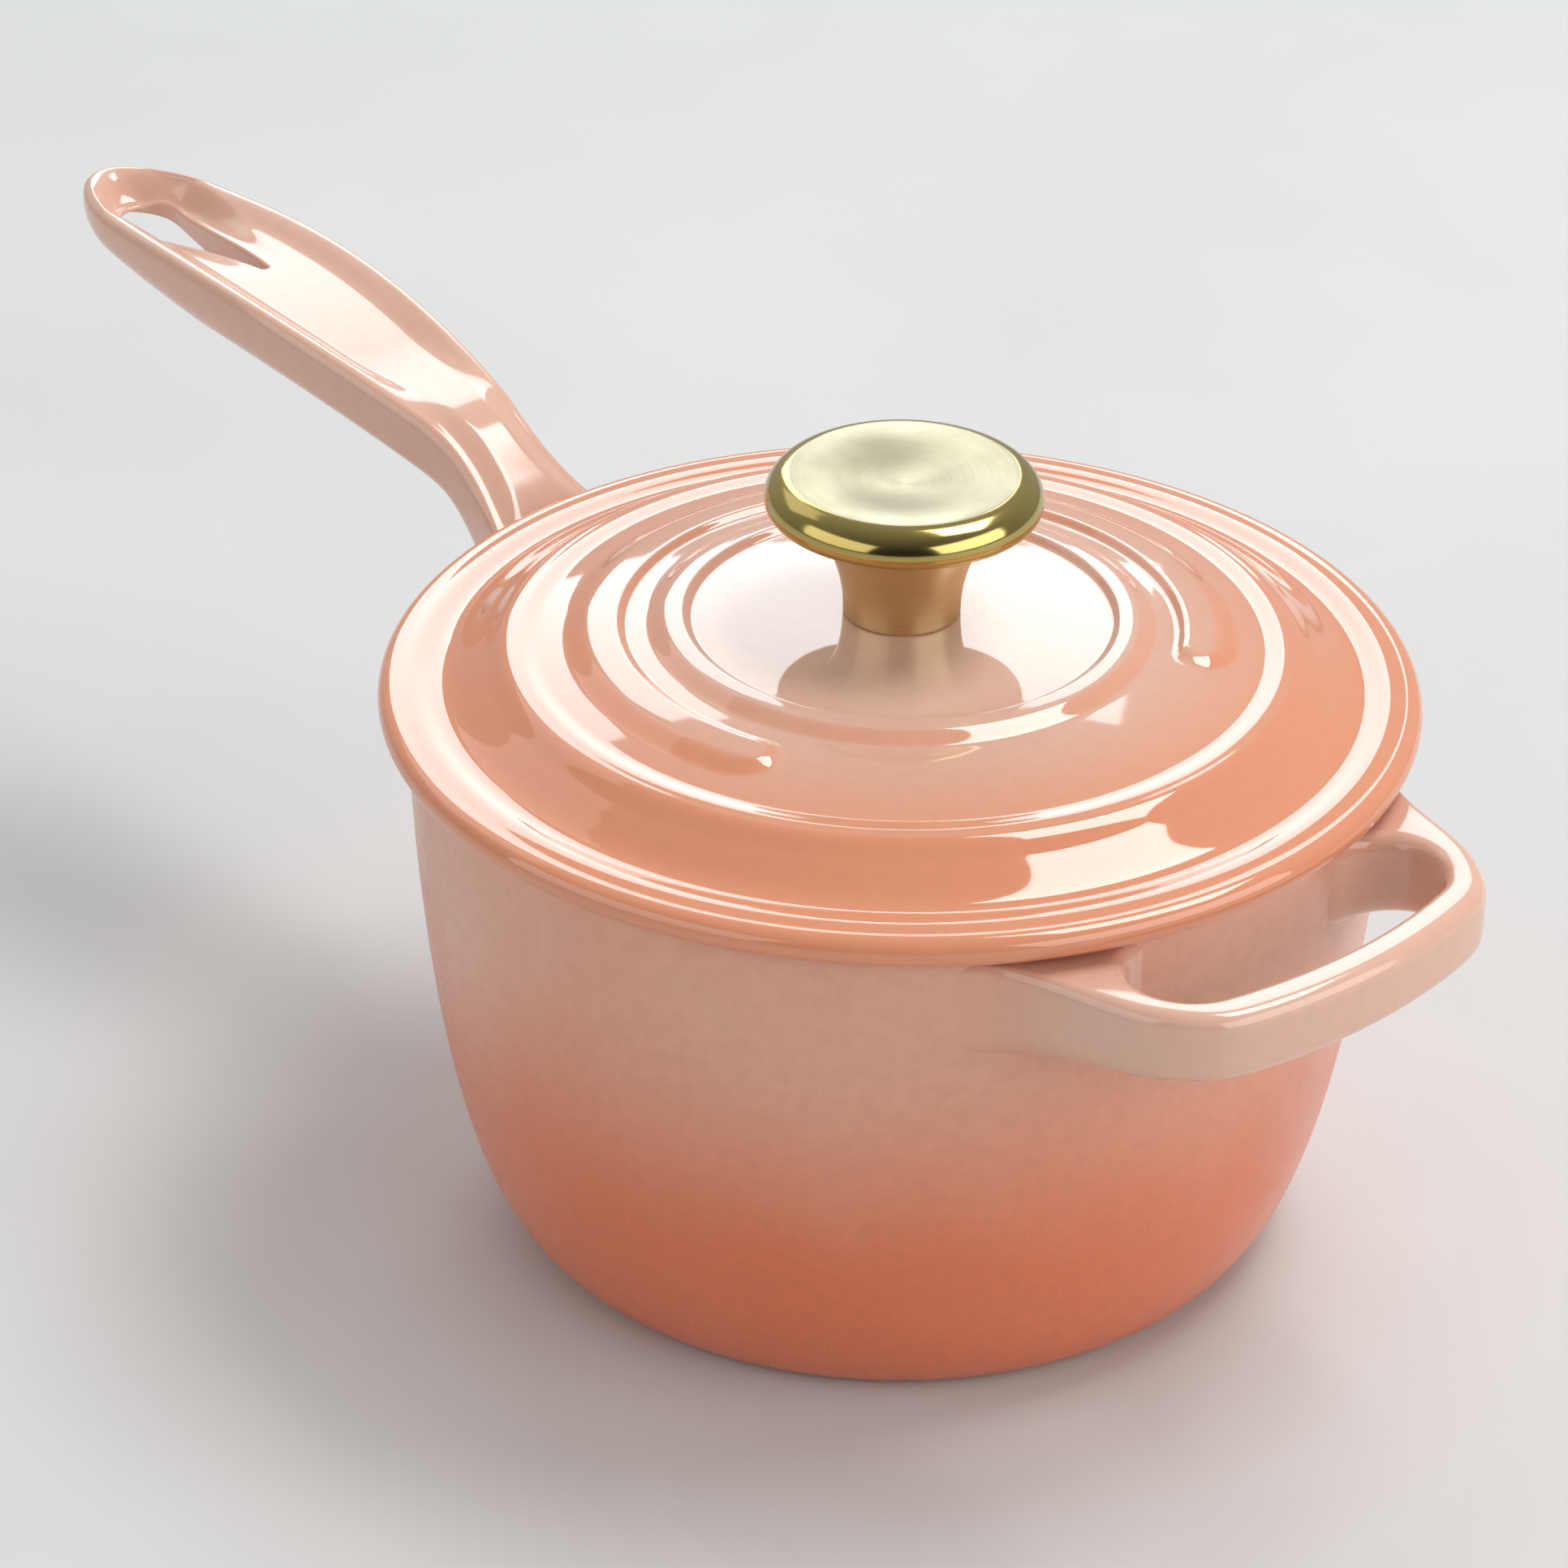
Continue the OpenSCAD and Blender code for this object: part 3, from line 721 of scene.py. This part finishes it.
def turned_marks_group():
    """Marks of turning or brushing round Z: many fine rings, broken up a little along their length."""
    tree, given, made = group("Turned marks", [
        ("Position", VECTOR, None), ("Rings", NUMBER, 3000.0), ("Strength", NUMBER, 1.0),
    ], [("Marks", NUMBER), ("Smudges", NUMBER)])
    xyz = add(tree, "ShaderNodeSeparateXYZ", {0: given.outputs["Position"]})
    x, y, z = xyz.outputs
    across = math_node(tree, "ADD", length_of(tree, x, y), z)
    stretched = add(tree, "ShaderNodeCombineXYZ", {
        0: across, 1: math_node(tree, "MULTIPLY", x, 0.03), 2: math_node(tree, "MULTIPLY", y, 0.03),
    })
    marks = noise(tree, stretched.outputs[0], given.outputs["Rings"], 2.0, 0.6)
    tree.links.new(math_node(tree, "MULTIPLY", marks, given.outputs["Strength"]), made.inputs["Marks"])
    tree.links.new(noise(tree, given.outputs["Position"], 70.0, 3.0, 0.6), made.inputs["Smudges"])
    return tree


FIRED_ENAMEL = enamel_group()
TURNED_MARKS = turned_marks_group()


def new_material(name):
    """A material with only its Principled shader and output: (material, tree, shader, object position)."""
    material = bpy.data.materials.new(name)
    material.use_nodes = True
    tree = material.node_tree
    tree.nodes.clear()
    shader = tree.nodes.new("ShaderNodeBsdfPrincipled")
    out = tree.nodes.new("ShaderNodeOutputMaterial")
    tree.links.new(shader.outputs[0], out.inputs["Surface"])
    place = tree.nodes.new("ShaderNodeTexCoord").outputs["Object"]
    return material, tree, shader, place


def enamel(name, light, deep, share, clouds, speckle, gloss, ripple, coat, rim=None):
    """Glossy enamel. share(tree, place) gives how far the colour has gone from light to deep."""
    material, tree, shader, place = new_material(name)
    look = add(tree, "ShaderNodeGroup", node_tree=FIRED_ENAMEL)
    tree.links.new(place, look.inputs["Position"])
    look.inputs["Light"].default_value = (*light, 1)
    look.inputs["Deep"].default_value = (*deep, 1)
    look.inputs["Clouds"].default_value = clouds
    look.inputs["Speckle"].default_value = speckle
    look.inputs["Gloss"].default_value = gloss
    blend_share = share(tree, place)
    if isinstance(blend_share, bpy.types.NodeSocket):
        tree.links.new(blend_share, look.inputs["Blend"])
    else:
        look.inputs["Blend"].default_value = blend_share
    colour = look.outputs["Colour"]
    roughness = look.outputs["Roughness"]
    if rim is not None:
        bare = rim(tree, place)
        colour = blend(tree, bare, colour, (0.035, 0.028, 0.025, 1))
        roughness = add(tree, "ShaderNodeMix", {"Factor": bare, "A": roughness, "B": 0.62}).outputs[0]
    tree.links.new(colour, shader.inputs["Base Color"])
    tree.links.new(roughness, shader.inputs["Roughness"])
    relief = {"Height": look.outputs["Ripple"], "Strength": 1.0, "Distance": ripple}
    tree.links.new(add(tree, "ShaderNodeBump", relief).outputs[0], shader.inputs["Normal"])
    shader.inputs["IOR"].default_value = 1.55
    shader.inputs["Coat Weight"].default_value = coat
    shader.inputs["Coat Roughness"].default_value = 0.03
    return material


def radius_of(tree, place):
    """Distance from the pan's axis."""
    xyz = add(tree, "ShaderNodeSeparateXYZ", {0: place})
    return length_of(tree, xyz.outputs[0], xyz.outputs[1])


def height_of(tree, place):
    return add(tree, "ShaderNodeSeparateXYZ", {0: place}).outputs[2]


def pan_share(tree, place):
    """Light at the rim, deep coral towards the base, with soft upright blushes."""
    z = height_of(tree, place)
    squeeze = {0: place, 1: (1.0, 1.0, 0.22)}
    squeezed = add(tree, "ShaderNodeVectorMath", squeeze, operation="MULTIPLY").outputs[0]
    patches = math_node(tree, "SUBTRACT", noise(tree, squeezed, 30.0, 2.0, 0.5), 0.5)
    blush = math_node(tree, "MULTIPLY", patches, 0.55)
    fall = mapped(tree, z, 0.084, 0.024)
    return math_node(tree, "ADD", fall, blush)


def lid_share(tree, place):
    """Light in the middle and deep at the slope and the edge; faces tilted away from level, such as the sides
    of each ring, get painted shade that deepens the colour further.
    """
    radial = mapped(tree, radius_of(tree, place), 0.030, 0.078)
    normal = tree.nodes.new("ShaderNodeTexCoord").outputs["Normal"]
    # Painted shade: the steeper the face, the deeper the colour, standing in for the darker look of the ring
    # flanks and the slope.
    painted_slope_shade = mapped(tree, height_of(tree, normal), 0.99, 0.90, 0.0, 0.45)
    return math_node(tree, "ADD", radial, painted_slope_shade)


def root_share(tree, place):
    """Peach along a handle, turning to the pan's own colour where its root runs into the wall."""
    root = mapped(tree, radius_of(tree, place), 0.095, 0.084, 0.0, 0.7)
    return math_node(tree, "ADD", root, 0.3)


def pan_rim(tree, place):
    """The bare rim that the lid sits on."""
    return mapped(tree, height_of(tree, place), 0.0957, 0.0965)


coral_pan = enamel("Coral enamel on the pan", (0.72, 0.385, 0.27), (0.73, 0.19, 0.085), pan_share, 0.3, 0.10,
                   0.27, 0.00001, 0.0, pan_rim)
coral_lid = enamel("Coral enamel on the lid", (0.70, 0.45, 0.35), (0.72, 0.285, 0.155), lid_share, 0.20, 0.05,
                   0.05, 0.00002, 0.35)
peach = enamel("Peach enamel on the handles", (0.74, 0.47, 0.36), (0.715, 0.38, 0.266), root_share, 0.3, 0.06,
               0.13, 0.00003, 0.25)
sand = enamel("Sand enamel inside", (0.72, 0.62, 0.46), (0.66, 0.54, 0.38), lambda t, p: 0.4, 0.4, 0.35,
              0.12, 0.00004, 0.25)


def turned_metal(name, colour, dark, rings, depth, gloss, swirl):
    """Metal with marks that run round Z. swirl stretches its highlights across the marks."""
    material, tree, shader, place = new_material(name)
    marks = add(tree, "ShaderNodeGroup", node_tree=TURNED_MARKS)
    tree.links.new(place, marks.inputs["Position"])
    marks.inputs["Rings"].default_value = rings
    smudge = mapped(tree, marks.outputs["Smudges"], 0.3, 0.75, 0.0, 0.35, smooth=False)
    grooves = mapped(tree, marks.outputs["Marks"], 0.35, 0.7, 0.0, 0.25, smooth=False)
    tint = math_node(tree, "ADD", smudge, grooves)
    tree.links.new(blend(tree, tint, (*colour, 1), (*dark, 1)), shader.inputs["Base Color"])
    spread = {0: marks.outputs["Smudges"], 1: gloss * 0.6, 2: gloss * 0.7}
    rough = add(tree, "ShaderNodeMath", spread, operation="MULTIPLY_ADD")
    tree.links.new(rough.outputs[0], shader.inputs["Roughness"])
    relief = {"Height": marks.outputs["Marks"], "Strength": 1.0, "Distance": depth}
    tree.links.new(add(tree, "ShaderNodeBump", relief).outputs[0], shader.inputs["Normal"])
    shader.inputs["Metallic"].default_value = 1.0
    shader.inputs["Anisotropic"].default_value = swirl
    if swirl:
        round_axis = add(tree, "ShaderNodeTangent", direction_type="RADIAL", axis="Z")
        tree.links.new(round_axis.outputs[0], shader.inputs["Tangent"])
    return material


brushed_gold = turned_metal(
    "Brushed gold dish", (0.47, 0.42, 0.29), (0.31, 0.27, 0.17), 2600.0, 0.000010, 0.42, 0.5)
polished_gold = turned_metal(
    "Polished gold", (0.50, 0.40, 0.14), (0.42, 0.32, 0.10), 900.0, 0.000001, 0.13, 0.0)
satin_gold = turned_metal("Satin gold", (0.76, 0.60, 0.34), (0.60, 0.44, 0.22), 2600.0, 0.000006, 0.32, 0.0)
brass = turned_metal("Brass bush", (0.72, 0.52, 0.22), (0.50, 0.34, 0.13), 2000.0, 0.000004, 0.28, 0.0)
steel = turned_metal("Plain steel", (0.55, 0.56, 0.57), (0.36, 0.36, 0.37), 2400.0, 0.000006, 0.30, 0.0)


# ---------------------------------------------------------------- pieces

piece("pan_casting", [(turned(pan_profile(), 288), False, True)], coral_pan, "pan", ["pan_body"])
piece("pan_inside", [(turned(lining_profile(), 240), False, True)], sand, "pan", ["pan_lining"])
piece("long_handle_casting", long_handle_grids(), peach, "pan", ["long_handle"])
piece("helper_handle_casting", helper_handle_grids(), peach, "pan", ["helper_handle"])
piece("lid_casting", [(lid_grid(320), True, True)], coral_lid, "lid", ["lid_shell"])
piece("lid_inside", [(turned(lid_lining_profile(), 200), True, True)], sand, "lid", ["lid_lining"])
cap = piece("knob_head", [(turned(cap_profile(), 192), False, True)], brushed_gold, "lid", ["knob_cap"])
piece("knob_column", [(turned(neck_profile(), 160), True, True)], satin_gold, "lid", ["knob_neck"])
piece("washer_ring", [(turned(washer_profile(), 96), True, True)], steel, "washer", ["screw_washer"])
piece("lid_screw", [(screw_grid(96), False, True)], steel, "screw", ["knob_screw"])

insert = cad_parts["knob_insert"]
insert.data.materials.clear()
insert.data.materials.append(brass)

# The dish is brushed, and the bevel and skirt round it are polished.
cap.data.materials.append(polished_gold)
centres = np.empty(len(cap.data.polygons) * 3)
cap.data.polygons.foreach_get("center", centres)
centres = centres.reshape(-1, 3)
from_axis = np.hypot(centres[:, 0], centres[:, 1])
on_dish = (from_axis < (CAP_RIM_R + 0.9) * MM) & (centres[:, 2] > (KNOB_TOP - 3.0) * MM)
cap.data.polygons.foreach_set("material_index", np.where(on_dish, 0, 1).astype(np.int32))

# ---------------------------------------------------------------- stage, light and camera

def plain_floor():
    """A large pale floor, level with the pan's base."""
    size = 6.0
    mesh = bpy.data.meshes.new("floor")
    corners = np.array([[-size, -size, 0], [size, -size, 0], [size, size, 0], [-size, size, 0]])
    mesh.from_pydata(corners, [], [[0, 1, 2, 3]])
    material, tree, shader, place = new_material("Pale floor")
    grain = mapped(tree, noise(tree, place, 8.0, 3.0, 0.5), 0.3, 0.7)
    pale = blend(tree, grain, (0.63, 0.63, 0.625, 1), (0.66, 0.66, 0.655, 1))
    tree.links.new(pale, shader.inputs["Base Color"])
    shader.inputs["Roughness"].default_value = 0.75
    shader.inputs["Specular IOR Level"].default_value = 0.2
    mesh.materials.append(material)
    obj = bpy.data.objects.new("floor", mesh)
    bpy.context.collection.objects.link(obj)


def soft_box(name, place, target, width, height, power, colour=(1.0, 1.0, 1.0)):
    """A rectangular light at place, facing target."""
    data = bpy.data.lights.new(name, "AREA")
    data.shape = "RECTANGLE"
    data.size = width
    data.size_y = height
    data.energy = power
    data.color = colour
    lamp = bpy.data.objects.new(name, data)
    facing = (Vector(target) - Vector(place)).to_track_quat("-Z", "Y")
    lamp.matrix_world = Matrix.Translation(place) @ facing.to_matrix().to_4x4()
    bpy.context.collection.objects.link(lamp)


plain_floor()
soft_box("left soft box", (-1.64, -0.09, 1.54), (0, 0, 0.08), 1.2, 0.9, 2.5)
soft_box("upper soft box", (0.22, 0.73, 1.72), (0, 0, 0.08), 0.95, 0.7, 18.0)
soft_box("back soft box", (-1.44, 1.16, 1.17), (0, 0, 0.1), 1.15, 0.9, 13.0, (0.85, 0.95, 1.0))
soft_box("right front card", (1.62, 0.40, 0.75), (0, 0, 0.08), 2.0, 1.2, 19.0)
soft_box("left front card", (-0.30, -1.66, 0.75), (0, 0, 0.08), 2.0, 1.2, 10.5)

# The room is lighter behind the pan and darker in front of it.
world = bpy.data.worlds.new("studio")
world.use_nodes = True
room = world.node_tree
direction = room.nodes.new("ShaderNodeTexCoord").outputs["Generated"]
facing = add(room, "ShaderNodeVectorMath", {0: direction, 1: (-0.70, 0.65, 0.30)}, operation="DOT_PRODUCT")
light_level = mapped(room, facing.outputs["Value"], -0.8, 0.9, 0.04, 0.50, smooth=False)
background = room.nodes["Background"]
background.inputs[0].default_value = (1.0, 0.99, 0.985, 1)
room.links.new(light_level, background.inputs[1])
bpy.context.scene.world = world

# Camera axes: it looks down at the pan from about 30 degrees, turned by a small roll.
CAMERA_AT = Vector((0.6961, -0.6761, 0.6359))
LOOK = Vector((-0.6346, 0.5920, -0.4968)).normalized()
ROLL = math.radians(0.75)
level_right = LOOK.cross(Vector((0, 0, 1))).normalized()
level_up = level_right.cross(LOOK)
right = level_right * math.cos(ROLL) + level_up * math.sin(ROLL)
up = level_up * math.cos(ROLL) - level_right * math.sin(ROLL)
camera_data = bpy.data.cameras.new("camera")
camera_data.lens = 149.07
camera_data.sensor_width = 36.0
camera_data.clip_end = 50.0
camera = bpy.data.objects.new("camera", camera_data)
turn = Matrix((right, up, -LOOK)).transposed().to_4x4()
camera.matrix_world = Matrix.Translation(CAMERA_AT) @ turn
bpy.context.collection.objects.link(camera)
bpy.context.scene.camera = camera
bpy.context.scene.view_settings.view_transform = "Standard"
bpy.context.scene.view_settings.look = "None"
